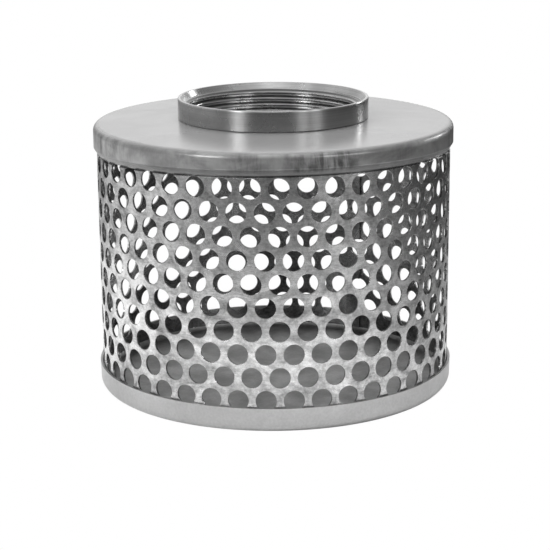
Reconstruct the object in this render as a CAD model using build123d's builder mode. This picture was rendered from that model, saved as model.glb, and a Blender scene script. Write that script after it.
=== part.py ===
from build123d import *
import os
from math import atan2, ceil, cos, degrees, floor, radians, sin, sqrt, tan

# Round hole suction strainer: a threaded collar on a pressed cap, a rolled
# perforated sheet and a pressed pan. Millimetres, +Z up. The origin is the
# centre of the underside, and -Y is the front, opposite the sheet's lap.
# Azimuths are counted in degrees from the front towards +X.

# Perforated sheet
body_diameter = 120.9
body_sheet = 0.7
hole_diameter = 6.8
hole_pitch = 9.01
row_pitch = 7.7
first_row_above_rim = 2.3
first_hole_azimuth = 5.75
lap_azimuth = 151.3
lap_width = 4.5
lap_gap = 0.05
lap_slit = 0.15
joggle_width = 0.8

# Pressed cap, its lip crimped into a neck in the sheet, lower at the back than at the front
cap_sheet = 0.8
cap_height = 91.5
cap_depth = 9.9
cap_bend = 2.2
cap_crown = 1.1
lip_height = 2.4
lip_reach = 1.5
crimp_tilt = 2.2
crimp_high_azimuth = 12.0

# Pressed pan
pan_sheet = 0.8
pan_depth = 8.3
pan_bend = 2.8
pan_flare = 0.2

# Turned collar, whose diameters follow from its thread's by its walls
thread_minor_diameter = 56.9
spigot_wall = 3.05
collar_shoulder = 1.0
collar_above_cap = 7.1
collar_below_cap = 8.8
collar_edge_round = 0.4
collar_foot_chamfer = 0.3
mouth_land = 0.9
mouth_slope = 1.3
mouth_depth = 2.0
bore_end_chamfer = 1.0
stake_width = 0.9
stake_height = 1.0
spigot_diameter = thread_minor_diameter + 2 * spigot_wall
collar_diameter = spigot_diameter + 2 * collar_shoulder
mouth_diameter = collar_diameter - 2 * (mouth_land + mouth_slope)

# Fits
cap_clearance = 0.2
pan_clearance = 0.05
seat_clearance = 0.05
lip_clearance = 0.08
spigot_clearance = 0.05
stake_clearance = 0.05

# The sheet's radii, and the cap and the pan that fit round it
body_radius = body_diameter / 2
body_middle_radius = body_radius - body_sheet / 2
cap_radius = body_radius + cap_clearance + cap_sheet
pan_radius = body_radius + pan_clearance + pan_sheet
seat_height = cap_height + cap_crown


def reach_into_bend(bend, clearance):
    """How far the sheet's edge goes into an inner bend before it meets the bend."""
    return sqrt(bend**2 - (bend - clearance) ** 2) - seat_clearance


body_bottom = pan_bend - reach_into_bend(pan_bend - pan_sheet, pan_clearance)
body_top = cap_height - cap_bend + reach_into_bend(cap_bend - cap_sheet, cap_clearance)

# The crimp lies in a tilted frame, its origin where the lip starts
crimp_height = cap_height - cap_depth + lip_height
crimp_high_side = Vector(0, -1, 0).rotate(Axis.Z, crimp_high_azimuth)
crimp_axis = Axis((0, 0, crimp_height), (Vector(0, 0, 1) - crimp_high_side * tan(radians(crimp_tilt))))
crimp_section = Plane(
    origin=crimp_axis.position,
    x_dir=crimp_high_side + Vector(0, 0, 1) * tan(radians(crimp_tilt)),
    z_dir=crimp_high_side.cross(Vector(0, 0, 1)),
)

# In the section through that frame: the lip's directions and edge, and the neck's corner
lip_slope = atan2(lip_reach, lip_height)
lip_down = Vector(-sin(lip_slope), -cos(lip_slope))
lip_inward = Vector(-cos(lip_slope), sin(lip_slope))
lip_edge = Vector(cap_radius - lip_reach, -lip_height)
neck = lip_edge + lip_inward * (cap_sheet + lip_clearance) + lip_down * lip_clearance


def neck_sides(corner, radius):
    """A corner of the neck between the points where its two sides reach a radius."""
    depth = radius - corner.X
    return (
        corner - lip_inward * (depth / cos(lip_slope)),
        corner,
        corner - lip_down * (depth / sin(lip_slope)),
    )


# The collar's levels
collar_radius = collar_diameter / 2
spigot_radius = spigot_diameter / 2
bore_radius = thread_minor_diameter / 2
mouth_radius = mouth_diameter / 2
land_radius = mouth_radius + mouth_slope
collar_top = seat_height + collar_above_cap
collar_bottom = seat_height - collar_below_cap
mouth_bottom = collar_top - mouth_depth
thread_start = mouth_bottom - (mouth_radius - bore_radius) / sqrt(3)
stake_top = seat_height - cap_sheet - stake_clearance


def as_angle(length):
    """Angle that a length takes up along the rolled sheet."""
    return degrees(length / body_middle_radius)


def radial_plane(azimuth):
    """Upright plane through the axis, its X along the azimuth."""
    outwards = Vector(0, -1, 0).rotate(Axis.Z, azimuth)
    return Plane(origin=(0, 0, 0), x_dir=outwards, z_dir=outwards.cross(Vector(0, 0, 1)))


# Pan: a disc with its rim pressed up
with BuildPart() as bottom_pan:
    with BuildSketch(Plane.XZ):
        with BuildLine():
            FilletPolyline(
                (0, 0), (pan_radius, 0), (pan_radius + pan_flare, pan_depth), radius=pan_bend
            )
            offset(amount=pan_sheet, side=Side.LEFT)
        make_face()
    revolve(axis=Axis.Z)

# Cap: a crowned disc with a hole for the collar and a skirt pressed down. The lip is a
# slanted band that runs out past the skirt and is cut flush with it, and the skirt's
# blank is longer than its depth and is trimmed below the lip.
blank_depth = 2 * cap_depth
band_width = 2 * lip_reach
lip_upper_end = lip_edge - lip_down * (band_width / sin(lip_slope))
trim_inner_end = lip_edge + lip_inward * (2 * cap_sheet)
with BuildPart() as top_cap:
    with BuildSketch(Plane.XZ):
        with BuildLine():
            FilletPolyline(
                (spigot_radius + spigot_clearance, seat_height),
                (cap_radius, cap_height),
                (cap_radius, cap_height - blank_depth),
                radius=cap_bend,
            )
            offset(amount=cap_sheet, side=Side.RIGHT)
        make_face()
    revolve(axis=Axis.Z)
    with BuildSketch(crimp_section):
        with BuildLine():
            Polyline(
                lip_edge,
                lip_edge + lip_inward * cap_sheet,
                lip_upper_end + lip_inward * cap_sheet,
                lip_upper_end,
                close=True,
            )
        make_face()
    revolve(axis=crimp_axis)
    with BuildSketch(Plane.XZ):
        with Locations((cap_radius, cap_height - blank_depth)):
            Rectangle(band_width, blank_depth, align=Align.MIN)
    revolve(axis=Axis.Z, mode=Mode.SUBTRACT)
    with BuildSketch(crimp_section):
        with BuildLine():
            Polyline(
                trim_inner_end,
                lip_edge,
                lip_upper_end,
                (lip_upper_end.X, -blank_depth),
                (trim_inner_end.X, -blank_depth),
                close=True,
            )
        make_face()
    revolve(axis=crimp_axis, mode=Mode.SUBTRACT)

# Collar: a turned ring with a chamfered mouth, a shoulder on the cap, and a
# spigot through it that is staked outwards underneath
with BuildPart() as threaded_collar:
    with BuildSketch(Plane.XZ):
        with BuildLine():
            Polyline(
                (collar_radius - collar_foot_chamfer, seat_height),
                (collar_radius, seat_height + collar_foot_chamfer),
                (collar_radius, collar_top - collar_edge_round),
                (collar_radius - collar_edge_round, collar_top),
                (land_radius, collar_top),
                (mouth_radius, mouth_bottom),
                (bore_radius, thread_start),
                (bore_radius, collar_bottom + bore_end_chamfer),
                (bore_radius + bore_end_chamfer, collar_bottom),
                (spigot_radius, collar_bottom),
                (spigot_radius, stake_top - stake_height - stake_width),
                (spigot_radius + stake_width, stake_top - stake_height),
                (spigot_radius + stake_width, stake_top),
                (spigot_radius, stake_top),
                (spigot_radius, seat_height),
                close=True,
            )
        make_face()
    revolve(axis=Axis.Z)

# Perforated sheet: rolled into a tube, with one end stepped inwards under the other.
# Each stretch has its ends, how deep it lies under the outside, and its thickness.
lap_depth = body_sheet + lap_gap
step_start = lap_azimuth + as_angle(lap_slit)
step_end = step_start + as_angle(joggle_width)
lap_end = lap_azimuth - as_angle(lap_width)
outer_layer = (step_end, 360 + lap_azimuth, 0, body_sheet)
joggle = (step_start, step_end, 0, lap_depth + body_sheet)
inner_layer = (lap_end, step_start, lap_depth, body_sheet)
hole_radius = hole_diameter / 2
hole_step = as_angle(hole_pitch)
first_row = pan_depth + first_row_above_rim
hole_rows = 1 + floor((crimp_height - first_row) / row_pitch)
ridge = neck + (lip_down + lip_inward) * body_sheet
punch_length = 2 * (body_radius - ridge.X)
with BuildPart() as perforated_body:
    for stretch_start, stretch_end, depth, thickness in (outer_layer, joggle, inner_layer):
        with BuildSketch(radial_plane(stretch_start)):
            with Locations((body_radius - depth - thickness, body_bottom)):
                Rectangle(thickness, body_top - body_bottom, align=Align.MIN)
        revolve(axis=Axis.Z, revolution_arc=stretch_end - stretch_start)
    with BuildSketch(crimp_section):
        with BuildLine():
            Polyline(*neck_sides(ridge, body_middle_radius), close=True)
        make_face()
    revolve(axis=crimp_axis)
    with BuildSketch(crimp_section):
        with BuildLine():
            Polyline(*neck_sides(neck, body_radius + body_sheet), close=True)
        make_face()
    revolve(axis=crimp_axis, mode=Mode.SUBTRACT)
    punched = []
    for row in range(hole_rows):
        start = first_hole_azimuth + (row % 2) * hole_step / 2
        clear_of_lap = lap_azimuth - as_angle(hole_radius) - start
        first = ceil((as_angle(2 * hole_radius) + clear_of_lap - 360) / hole_step)
        last = floor(clear_of_lap / hole_step)
        for index in range(first, last + 1):
            direction = Vector(0, -1, 0).rotate(Axis.Z, start + index * hole_step)
            centre = direction * body_middle_radius + Vector(0, 0, first_row + row * row_pitch)
            punched.append(Plane(origin=centre, z_dir=direction).location)
    with Locations(*punched):
        Cylinder(hole_radius, punch_length, mode=Mode.SUBTRACT)

bottom_pan.part.label = "bottom_pan"
top_cap.part.label = "top_cap"
threaded_collar.part.label = "threaded_collar"
perforated_body.part.label = "perforated_body"

os.makedirs("parts", exist_ok=True)
export_step(bottom_pan.part, "parts/bottom_pan.step")
export_step(top_cap.part, "parts/top_cap.step")
export_step(threaded_collar.part, "parts/threaded_collar.step")
export_step(perforated_body.part, "parts/perforated_body.step")
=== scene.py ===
import bmesh
import bpy
from collections import namedtuple
from math import cos, pi, radians, sin, sqrt, tan
from mathutils import Matrix, Vector


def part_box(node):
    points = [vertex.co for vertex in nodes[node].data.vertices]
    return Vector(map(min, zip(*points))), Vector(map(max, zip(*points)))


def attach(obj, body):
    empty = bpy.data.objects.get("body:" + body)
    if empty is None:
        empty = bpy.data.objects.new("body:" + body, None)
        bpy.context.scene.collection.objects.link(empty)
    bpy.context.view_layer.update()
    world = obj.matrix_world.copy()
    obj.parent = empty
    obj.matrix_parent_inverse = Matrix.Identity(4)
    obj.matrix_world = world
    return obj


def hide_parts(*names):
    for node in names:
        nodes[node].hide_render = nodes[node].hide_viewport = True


# Round hole strainer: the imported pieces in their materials, a collar that carries the
# real thread in place of the plain one, a plain studio and the camera. Metres, -Y is
# the front, and azimuths are counted in degrees from the front towards +X.

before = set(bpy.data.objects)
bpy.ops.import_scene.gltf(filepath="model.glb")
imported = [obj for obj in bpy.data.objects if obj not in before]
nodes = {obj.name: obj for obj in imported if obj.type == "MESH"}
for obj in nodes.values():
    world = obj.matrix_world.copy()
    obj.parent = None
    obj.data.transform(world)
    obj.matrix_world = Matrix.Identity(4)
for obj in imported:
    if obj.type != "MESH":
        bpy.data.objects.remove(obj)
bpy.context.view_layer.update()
scene = bpy.context.scene
scene.view_settings.view_transform = "Standard"
mm = 0.001

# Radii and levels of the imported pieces
collar_low, collar_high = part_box("threaded_collar")
collar_bottom = collar_low.z
collar_top = collar_high.z
collar_radius = collar_high.x
cap_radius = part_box("top_cap")[1].x
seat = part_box("top_cap")[1].z
body_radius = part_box("perforated_body")[1].x

# Cap's lip, which lies in a plane that rises towards one azimuth
lip_start = 84.0 * mm
crimp_tilt = radians(2.2)
crimp_high_azimuth = radians(12)
crimp_rise = (
    tan(crimp_tilt) * sin(crimp_high_azimuth),
    -tan(crimp_tilt) * cos(crimp_high_azimuth),
    0,
)

# Thread of 11.5 turns per inch. Its flats, and how far it starts above the front, are
# shares of a pitch, and the run-in and the bore's end widen by their slopes.
thread_pitch = 25.4 / 11.5 * mm
thread_flat = 0.13
thread_start = 0.65
bore_radius = 28.45 * mm
root_radius = 30.15 * mm
run_in_slope = sqrt(3)
bore_end_slope = 1.2

# Collar round the thread: its mouth, its edges and the staked spigot under the cap
mouth_radius = 30.3 * mm
mouth_bottom = collar_top - 2.0 * mm
land_radius = collar_radius - 0.9 * mm
land_round = 0.12 * mm
edge_round = 0.45 * mm
foot_chamfer = 0.3 * mm
spigot_radius = 31.5 * mm
stake_width = 0.9 * mm
stake_height = 1.0 * mm
stake_top = seat - 0.85 * mm

# Fineness of the collar's mesh
steps_round = 288
points_per_turn = 12
joining_distance = 0.001 * mm
sharp_angle = radians(25)

# Sockets for a point of a piece: its place, the same rolled out flat round the axis, its
# distance from the axis and its height
Point = namedtuple("Point", "place flat radius height")


class Tree:
    """Adds nodes to a material's or a world's tree and joins them."""

    def __init__(self, owner):
        owner.use_nodes = True
        self.nodes = owner.node_tree.nodes
        self.links = owner.node_tree.links
        self.nodes.clear()

    def add(self, kind, settings=None, **inputs):
        """New node, its inputs given by name or by an underscore and a number."""
        node = self.nodes.new("ShaderNode" + kind)
        for name, value in (settings or {}).items():
            setattr(node, name, value)
        for name, value in inputs.items():
            key = int(name[1:]) if name[0] == "_" else name.replace("_", " ")
            self.put(node.inputs[key], value)
        return node

    def put(self, socket, value):
        if isinstance(value, bpy.types.NodeSocket):
            self.links.new(value, socket)
        else:
            socket.default_value = value

    def math(self, operation, a, b):
        return self.add("Math", {"operation": operation}, _0=a, _1=b).outputs[0]

    def vector_math(self, operation, a, b=(0, 0, 0)):
        return self.add("VectorMath", {"operation": operation}, _0=a, _1=b)

    def total(self, first, *others):
        for other in others:
            first = self.math("ADD", first, other)
        return first

    def product(self, first, *others):
        for other in others:
            first = self.math("MULTIPLY", first, other)
        return first

    def remainder(self, share, loss):
        """What is left of 1 where a share is lost."""
        return self.math("SUBTRACT", 1.0, self.product(share, loss))

    def span(self, value, low, high, to_low, to_high):
        """Smooth passage from one level to another between two values."""
        smooth = {"interpolation_type": "SMOOTHSTEP"}
        return self.add("MapRange", smooth, _0=value, _1=low, _2=high, _3=to_low, _4=to_high).outputs[0]

    def vary(self, noise, to_low, to_high, spread=0.2):
        """Passage between two levels with a noise, most of which lies a spread round 0.5."""
        return self.span(noise, 0.5 - spread, 0.5 + spread, to_low, to_high)

    def noise(self, vector, scale, detail, roughness, distortion=0.0):
        """Noise at a scale per metre, or at one scale along each axis."""
        if isinstance(scale, tuple):
            vector = self.vector_math("MULTIPLY", vector, scale).outputs[0]
            scale = 1.0
        grain = {"Scale": scale, "Detail": detail, "Roughness": roughness, "Distortion": distortion}
        return self.add("TexNoise", {"normalize": True}, Vector=vector, **grain).outputs["Fac"]

    def grey(self, value):
        return self.add("CombineColor", Red=value, Green=value, Blue=value).outputs[0]

    def object_place(self):
        return self.add("TexCoord").outputs["Object"]

    def point(self):
        unroll_radius = 0.06
        place = self.object_place()
        split = self.add("SeparateXYZ", Vector=place)
        angle = self.math("ARCTAN2", split.outputs[0], self.product(split.outputs[1], -1.0))
        height = split.outputs[2]
        level = self.add("CombineXYZ", X=split.outputs[0], Y=split.outputs[1], Z=0.0).outputs[0]
        radius = self.vector_math("LENGTH", level).outputs["Value"]
        along = self.product(angle, unroll_radius)
        flat = self.add("CombineXYZ", X=along, Y=radius, Z=height).outputs[0]
        return Point(place, flat, radius, height)


def finish_metal(tree, tone, roughness, relief, relief_depth, edge_radius, metallic=1.0, turned=0.0):
    """Metal with softened edges, and with its highlights stretched upright where it is turned."""
    rounded = tree.add("Bevel", {"samples": 6}, Radius=edge_radius).outputs[0]
    bump = tree.add("Bump", Strength=1.0, Distance=relief_depth, Height=relief, Normal=rounded)
    shader = tree.add("BsdfPrincipled", Base_Color=tree.grey(tone), Metallic=metallic)
    tree.put(shader.inputs["Roughness"], roughness)
    tree.put(shader.inputs["Normal"], bump.outputs[0])
    if turned:
        round_the_axis = tree.add("Tangent", {"direction_type": "RADIAL", "axis": "Z"}).outputs[0]
        tree.put(shader.inputs["Anisotropic"], turned)
        tree.put(shader.inputs["Anisotropic Rotation"], 0.25)
        tree.put(shader.inputs["Tangent"], round_the_axis)
    tree.links.new(shader.outputs[0], tree.add("OutputMaterial").inputs[0])


def mottled_zinc(name):
    """Rolled galvanised sheet: smoky outside with fine scratches, and painted shade on its inner face."""
    material = bpy.data.materials.new(name)
    tree = Tree(material)
    at = tree.point()
    smoke = tree.noise(at.flat, 60.0, detail=6.0, roughness=0.62, distortion=2.2)
    patches = tree.noise(at.flat, 22.0, detail=3.0, roughness=0.5, distortion=0.6)
    specks = tree.noise(at.flat, 900.0, detail=3.0, roughness=0.7)
    scratches = tree.noise(at.flat, (160.0, 160.0, 900.0), detail=3.0, roughness=0.6, distortion=1.5)
    tone = tree.total(
        tree.vary(smoke, 0.33, 0.64, spread=0.14),
        tree.vary(patches, -0.09, 0.09),
        tree.vary(specks, -0.1, 0.1),
        tree.vary(scratches, -0.07, 0.07),
    )
    # Painted shade: the sheet's inner face takes this share of its tone, blending to full tone at its outer
    # face.
    painted_inside_shade = 0.42
    inside_radius = body_radius - 0.75 * mm
    outside_radius = body_radius - 0.15 * mm
    outside = tree.span(at.radius, inside_radius, outside_radius, painted_inside_shade, 1.0)
    roughness = tree.vary(smoke, 0.34, 0.22)
    relief = tree.total(tree.product(patches, 6.0), tree.product(smoke, 3.0), tree.product(specks, 0.4))
    finish_metal(tree, tree.product(tone, outside), roughness, relief, 0.03 * mm, edge_radius=0.2 * mm)
    return material


def satin_plate(name):
    """Pressed plate: even satin on the disc, darker and uneven round the skirt, puckered there with painted
    shade in the puckers' hollows, and painted shade on the lip.
    """
    material = bpy.data.materials.new(name)
    tree = Tree(material)
    at = tree.point()
    clouds = tree.noise(at.place, 45.0, detail=5.0, roughness=0.6, distortion=0.4)
    grain = tree.noise(at.place, (300.0, 2200.0, 300.0), detail=3.0, roughness=0.6)
    streaks = tree.noise(at.flat, (420.0, 60.0, 90.0), detail=4.0, roughness=0.65, distortion=0.3)
    skirt_darkening = tree.noise(at.flat, (90.0, 60.0, 160.0), detail=4.0, roughness=0.6, distortion=0.6)
    bands = tree.noise(at.flat, (24.0, 10.0, 10.0), detail=2.0, roughness=0.5)
    skirt = tree.span(at.radius, cap_radius - 1.4 * mm, cap_radius - 0.3 * mm, 0.0, 1.0)
    puckered = tree.product(skirt, tree.span(bands, 0.44, 0.58, 0.1, 1.0))
    uphill = tree.vector_math("DOT_PRODUCT", at.place, crimp_rise).outputs["Value"]
    above_crimp = tree.math("SUBTRACT", at.height, uphill)
    # Painted shade: the lip below the crimp is darkened to this share of its tone.
    painted_lip_shade = 0.4
    lip = tree.span(above_crimp, lip_start - 0.5 * mm, lip_start + 0.3 * mm, painted_lip_shade, 1.0)
    tone = tree.total(
        tree.vary(clouds, 0.4, 0.44),
        tree.vary(grain, -0.015, 0.015),
        # The skirt is darker than the disc all round, by an uneven amount.
        tree.product(skirt, tree.vary(skirt_darkening, -0.17, -0.02, spread=0.15)),
        # Painted shade: in the puckers, the streaks are darkest along the hollows of their relief.
        tree.product(puckered, tree.vary(streaks, -0.22, 0.02, spread=0.15)),
    )
    roughness = tree.total(tree.vary(clouds, 0.24, 0.2), tree.product(skirt, 0.09))
    relief = tree.total(tree.product(clouds, 0.4), tree.product(puckered, streaks, 2.2))
    finish_metal(
        tree, tree.product(tone, lip), roughness, relief, 0.03 * mm, edge_radius=0.06 * mm, metallic=0.5
    )
    return material


def matt_plate(name):
    """Pan: even, finely grained light grey outside, and stained inside."""
    material = bpy.data.materials.new(name)
    tree = Tree(material)
    at = tree.point()
    clouds = tree.noise(at.place, 60.0, detail=5.0, roughness=0.6, distortion=0.4)
    stains = tree.noise(at.place, 70.0, detail=5.0, roughness=0.6, distortion=0.2)
    specks = tree.noise(at.place, 1200.0, detail=3.0, roughness=0.6)
    within = tree.product(
        tree.span(at.radius, 58.5 * mm, 60.5 * mm, 1.0, 0.0),
        tree.span(at.height, 0.3 * mm, 0.7 * mm, 0.0, 1.0),
    )
    stained = tree.remainder(within, tree.vary(stains, 0.25, -0.25))
    tone = tree.total(tree.vary(clouds, 0.49, 0.55), tree.vary(specks, -0.03, 0.03))
    roughness = tree.vary(clouds, 0.5, 0.44)
    relief = tree.total(clouds, tree.product(specks, 0.3))
    finish_metal(tree, tree.product(tone, stained), roughness, relief, 0.02 * mm, edge_radius=0.1 * mm)
    return material


def turned_steel(name):
    """Lathe-turned collar: bright, with fine rings round the axis, and painted shade on its outer wall and in
    the groove where the thread starts.
    """
    material = bpy.data.materials.new(name)
    tree = Tree(material)
    at = tree.point()
    rings = tree.noise(at.flat, (3.0, 5000.0, 5000.0), detail=2.0, roughness=0.5)
    clouds = tree.noise(at.place, 80.0, detail=4.0, roughness=0.55)
    # Painted shade: the outer wall below the top takes half the tone.
    wall = tree.product(
        tree.span(at.radius, collar_radius - 0.6 * mm, collar_radius - 0.2 * mm, 0.0, 1.0),
        tree.span(at.height, collar_top - 0.5 * mm, collar_top - 0.3 * mm, 1.0, 0.0),
    )
    # Painted shade in the recess where the mouth's chamfer meets the thread.
    painted_groove_shade = tree.product(
        tree.span(at.height, mouth_bottom - 0.3 * mm, mouth_bottom, 1.0, 0.0),
        tree.span(at.radius, bore_radius + 0.1 * mm, bore_radius + 0.85 * mm, 0.0, 1.0),
        tree.span(at.radius, root_radius - 0.35 * mm, root_radius - 0.1 * mm, 1.0, 0.0),
    )
    tone = tree.product(
        tree.total(tree.vary(rings, 0.7, 0.84), tree.vary(clouds, -0.05, 0.05)),
        tree.remainder(wall, 0.5),
        tree.remainder(painted_groove_shade, 0.7),
    )
    roughness = tree.vary(clouds, 0.3, 0.24)
    finish_metal(tree, tone, roughness, rings, 0.004 * mm, edge_radius=0.06 * mm, turned=0.85)
    return material


def dress(piece, material):
    piece.data.materials.clear()
    piece.data.materials.append(material)


def rounded_corner(corner, before, after, radius, steps):
    """Points that round a corner of a profile between the directions to its neighbours."""
    corner = Vector(corner)
    start = corner + (Vector(before) - corner).normalized() * radius
    end = corner + (Vector(after) - corner).normalized() * radius
    points = []
    for step in range(steps + 1):
        gone = step / steps
        left = 1 - gone
        points.append(tuple(start * left**2 + corner * 2 * gone * left + end * gone**2))
    return points


def outer_profile():
    """Collar's section from the cap up round its outer edge to the mouth, as radius and height."""
    foot = (collar_radius, seat)
    outer_edge = (collar_radius, collar_top)
    land_edge = (land_radius, collar_top)
    mouth_foot = (mouth_radius, mouth_bottom)
    return [
        (collar_radius - foot_chamfer, seat),
        (collar_radius, seat + foot_chamfer),
        *rounded_corner(outer_edge, foot, land_edge, edge_round, 4),
        *rounded_corner(land_edge, outer_edge, mouth_foot, land_round, 2),
    ]


def under_profile():
    """Collar's section from the bore's lower end out and up round the staked spigot."""
    return [
        (root_radius, collar_bottom),
        (spigot_radius, collar_bottom),
        (spigot_radius, stake_top - stake_height - stake_width),
        (spigot_radius + stake_width, stake_top - stake_height),
        (spigot_radius + stake_width, stake_top),
        (spigot_radius, stake_top),
        (spigot_radius, seat),
    ]


def thread_radius(phase):
    """Radius of the thread at a count of pitches: straight flanks between small flats."""
    reach = abs(2 * (phase % 1.0) - 1)
    depth = min(max((reach - thread_flat) / (1 - 2 * thread_flat), 0), 1)
    return bore_radius + (root_radius - bore_radius) * depth


def mouth_radius_at(height):
    """Radius of the chamfered mouth at a height, and of the run-in cone under it."""
    above = height - mouth_bottom
    if above >= 0:
        return mouth_radius + (land_radius - mouth_radius) * above / (collar_top - mouth_bottom)
    return mouth_radius + above * run_in_slope


def thread_profile(turn, upper_end):
    """Collar's inner wall down from its upper end, at a share of one turn round the axis.

    The thread has spare pitches, so that it reaches past both ends of the wall all round,
    and what lies past an end is gathered at the end.
    """
    spare_pitches = 3
    pitches = int((collar_top - collar_bottom) / thread_pitch) + spare_pitches
    points = []
    for point in range(pitches * points_per_turn + 1):
        phase = point / points_per_turn
        height = upper_end + thread_pitch * (turn + thread_start - phase)
        height = min(max(height, collar_bottom), upper_end)
        bore_end_radius = root_radius - (height - collar_bottom) * bore_end_slope
        points.append((max(thread_radius(phase), mouth_radius_at(height), bore_end_radius), height))
    return points


def collar_mesh():
    """Ring whose inner wall carries the right-handed thread.

    The wall's rows climb by one pitch in a turn. Where the ring closes, each of them
    meets the row that starts one pitch further up.
    """
    outer = outer_profile()
    under = under_profile()
    verts = []
    columns = []
    for step in range(steps_round):
        turn = step / steps_round
        angle = 2 * pi * turn
        wall = thread_profile(turn, outer[-1][1])
        profile = outer + wall + under
        columns.append(range(len(verts), len(verts) + len(profile)))
        verts += [(radius * sin(angle), -radius * cos(angle), height) for radius, height in profile]
    wall_rows = range(len(outer), len(outer) + len(wall))
    rows = len(outer) + len(wall) + len(under)

    def row_ahead(row, column):
        """The row of the next column that a row meets."""
        closing = column == steps_round - 1 and row in wall_rows
        return max(row - points_per_turn, wall_rows[0]) if closing else row

    faces = []
    for column in range(steps_round):
        here = columns[column]
        ahead = columns[(column + 1) % steps_round]
        for row in range(rows):
            below = (row + 1) % rows
            corners = (here[row], here[below], ahead[row_ahead(below, column)], ahead[row_ahead(row, column)])
            distinct = tuple(dict.fromkeys(corners))
            if len(distinct) > 2:
                faces.append(distinct)
    mesh = bpy.data.meshes.new("turned_collar")
    mesh.from_pydata(verts, [], faces)
    close_and_smooth(mesh)
    return mesh


def close_and_smooth(mesh):
    """Joins what meets, turns the faces outwards and smooths all but the sharp edges."""
    work = bmesh.new()
    work.from_mesh(mesh)
    bmesh.ops.remove_doubles(work, verts=work.verts, dist=joining_distance)
    bmesh.ops.dissolve_degenerate(work, edges=work.edges, dist=joining_distance)
    bmesh.ops.recalc_face_normals(work, faces=work.faces)
    work.to_mesh(mesh)
    work.free()
    for polygon in mesh.polygons:
        polygon.use_smooth = True
    mesh.set_sharp_from_angle(angle=sharp_angle)


# Pieces and what they are made of
collar = bpy.data.objects.new("turned_collar", collar_mesh())
scene.collection.objects.link(collar)
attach(collar, "root")
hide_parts("threaded_collar")
dress(collar, turned_steel("turned steel"))
dress(nodes["perforated_body"], mottled_zinc("mottled zinc sheet"))
dress(nodes["top_cap"], satin_plate("satin plate"))
dress(nodes["bottom_pan"], matt_plate("matt plate"))

# Soft patches of light in the surroundings: azimuth, elevation, sharpness and strength
studio_light = 0.13
studio_patches = (
    (180, 18, 8.0, 0.8),
    (-43, 18, 120.0, 9.5),
    (-100, 25, 4.0, 0.35),
    (36, 18, 200.0, 6.5),
    (54, 18, 200.0, 6.5),
    (131, 16, 350.0, 13.0),
    (0, 52, 14.0, 0.8),
    (0, 90, 3.0, 0.3),
)

# Paper under the strainer, its tone a painted pool of light: the tones near and far and the distances where
# they end and start, and patches of painted light and painted shade, by azimuth, sharpness and strength
paper_size = 6
# Painted light: the paper is light near the strainer and falls to dark away from it.
painted_light_near = 0.9
near_end = 0.1
painted_light_far = 0.1
far_start = 0.36
painted_light_patches = ((-105, 2.0, 0.5), (41, 20.0, 0.35))
painted_shade_patch = (110, 2.0, 0.6)
painted_shade_start = 0.07
painted_shade_full = 0.14


def lobe(tree, direction, azimuth, elevation, sharpness, strength):
    """Soft patch round a direction."""
    turn = radians(azimuth)
    rise = radians(elevation)
    centre = (sin(turn) * cos(rise), -cos(turn) * cos(rise), sin(rise))
    facing = tree.vector_math("DOT_PRODUCT", direction, centre).outputs["Value"]
    facing = tree.math("MAXIMUM", facing, 0.0)
    return tree.product(tree.math("POWER", facing, sharpness), strength)


def white_to_the_camera(tree, shader, white_kind, output_kind):
    """Joins a shader to the output, with plain white in its place for what the camera sees."""
    seen = tree.add("LightPath").outputs["Is Camera Ray"]
    white = tree.add(white_kind, Color=(1, 1, 1, 1), Strength=1.0)
    mix = tree.add("MixShader", _0=seen, _1=shader.outputs[0], _2=white.outputs[0])
    tree.links.new(mix.outputs[0], tree.add(output_kind).inputs[0])


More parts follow.
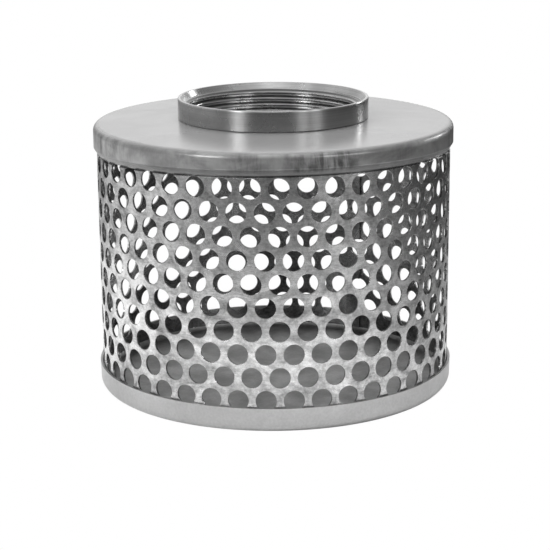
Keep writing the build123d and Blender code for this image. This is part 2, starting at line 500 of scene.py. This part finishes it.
def studio_floor():
    """Pale paper with a painted pool of light that darkens away from the strainer, and painted lighter and
    darker patches round it.
    """
    bpy.ops.mesh.primitive_plane_add(size=paper_size)
    floor = bpy.context.object
    floor.name = "floor"
    material = bpy.data.materials.new("floor")
    tree = Tree(material)
    place = tree.object_place()
    outwards = tree.vector_math("NORMALIZE", place).outputs[0]
    distance = tree.vector_math("LENGTH", place).outputs["Value"]
    far = painted_light_far
    for azimuth, sharpness, strength in painted_light_patches:
        far = tree.total(lobe(tree, outwards, azimuth, 0, sharpness, strength), far)
    nearness = tree.span(distance, near_end, far_start, 1.0, 0.0)
    tone = tree.total(tree.product(nearness, tree.math("SUBTRACT", painted_light_near, far)), far)
    # Painted shade on the paper round one azimuth, beyond a distance from the strainer.
    azimuth, sharpness, strength = painted_shade_patch
    painted_shade_on_paper = lobe(tree, outwards, azimuth, 0, sharpness, strength)
    beyond = tree.span(distance, painted_shade_start, painted_shade_full, 0.0, 1.0)
    tone = tree.product(tone, tree.remainder(painted_shade_on_paper, beyond))
    paper = tree.add("BsdfDiffuse", Color=tree.grey(tone))
    white_to_the_camera(tree, paper, "Emission", "OutputMaterial")
    dress(floor, material)


def surroundings():
    """Studio walls, as the metal sees them."""
    world = bpy.data.worlds.new("studio")
    tree = Tree(world)
    direction = tree.add("TexCoord").outputs["Generated"]
    light = studio_light
    for azimuth, elevation, sharpness, strength in studio_patches:
        light = tree.total(lobe(tree, direction, azimuth, elevation, sharpness, strength), light)
    walls = tree.add("Background", Color=tree.grey(light), Strength=1.0)
    white_to_the_camera(tree, walls, "Background", "OutputWorld")
    scene.world = world


def softbox(name, place, size, power):
    """Square lamp that is turned to the strainer's middle and isn't mirrored in the metal."""
    data = bpy.data.lights.new(name, "AREA")
    data.size = size
    data.energy = power
    lamp = bpy.data.objects.new(name, data)
    scene.collection.objects.link(lamp)
    lamp.location = place
    lamp.visible_glossy = False
    middle = Vector((0, 0, 0.05))
    lamp.rotation_euler = (middle - Vector(place)).to_track_quat("-Z", "Y").to_euler()


studio_floor()
surroundings()
softbox("key", (-0.7, -0.35, 0.75), 0.6, 6)
softbox("top", (0.1, 0.25, 1.0), 0.8, 8)

# Camera, at the photo's angle
camera_place = Vector((0.00016, -0.5932, 0.1928))
camera_pitch = radians(14.76)
camera_roll = radians(-0.479)
camera_data = bpy.data.cameras.new("camera")
camera_data.lens = 114.67
camera_data.sensor_width = 36
camera_data.clip_start = 0.01
camera_data.clip_end = 20
camera = bpy.data.objects.new("camera", camera_data)
scene.collection.objects.link(camera)
back = Vector((0, -cos(camera_pitch), sin(camera_pitch)))
right = Vector((cos(camera_roll), sin(camera_roll) * sin(camera_pitch), sin(camera_roll) * cos(camera_pitch)))
stand = Matrix((right, back.cross(right), back)).transposed().to_4x4()
stand.translation = camera_place
camera.matrix_world = stand
scene.camera = camera
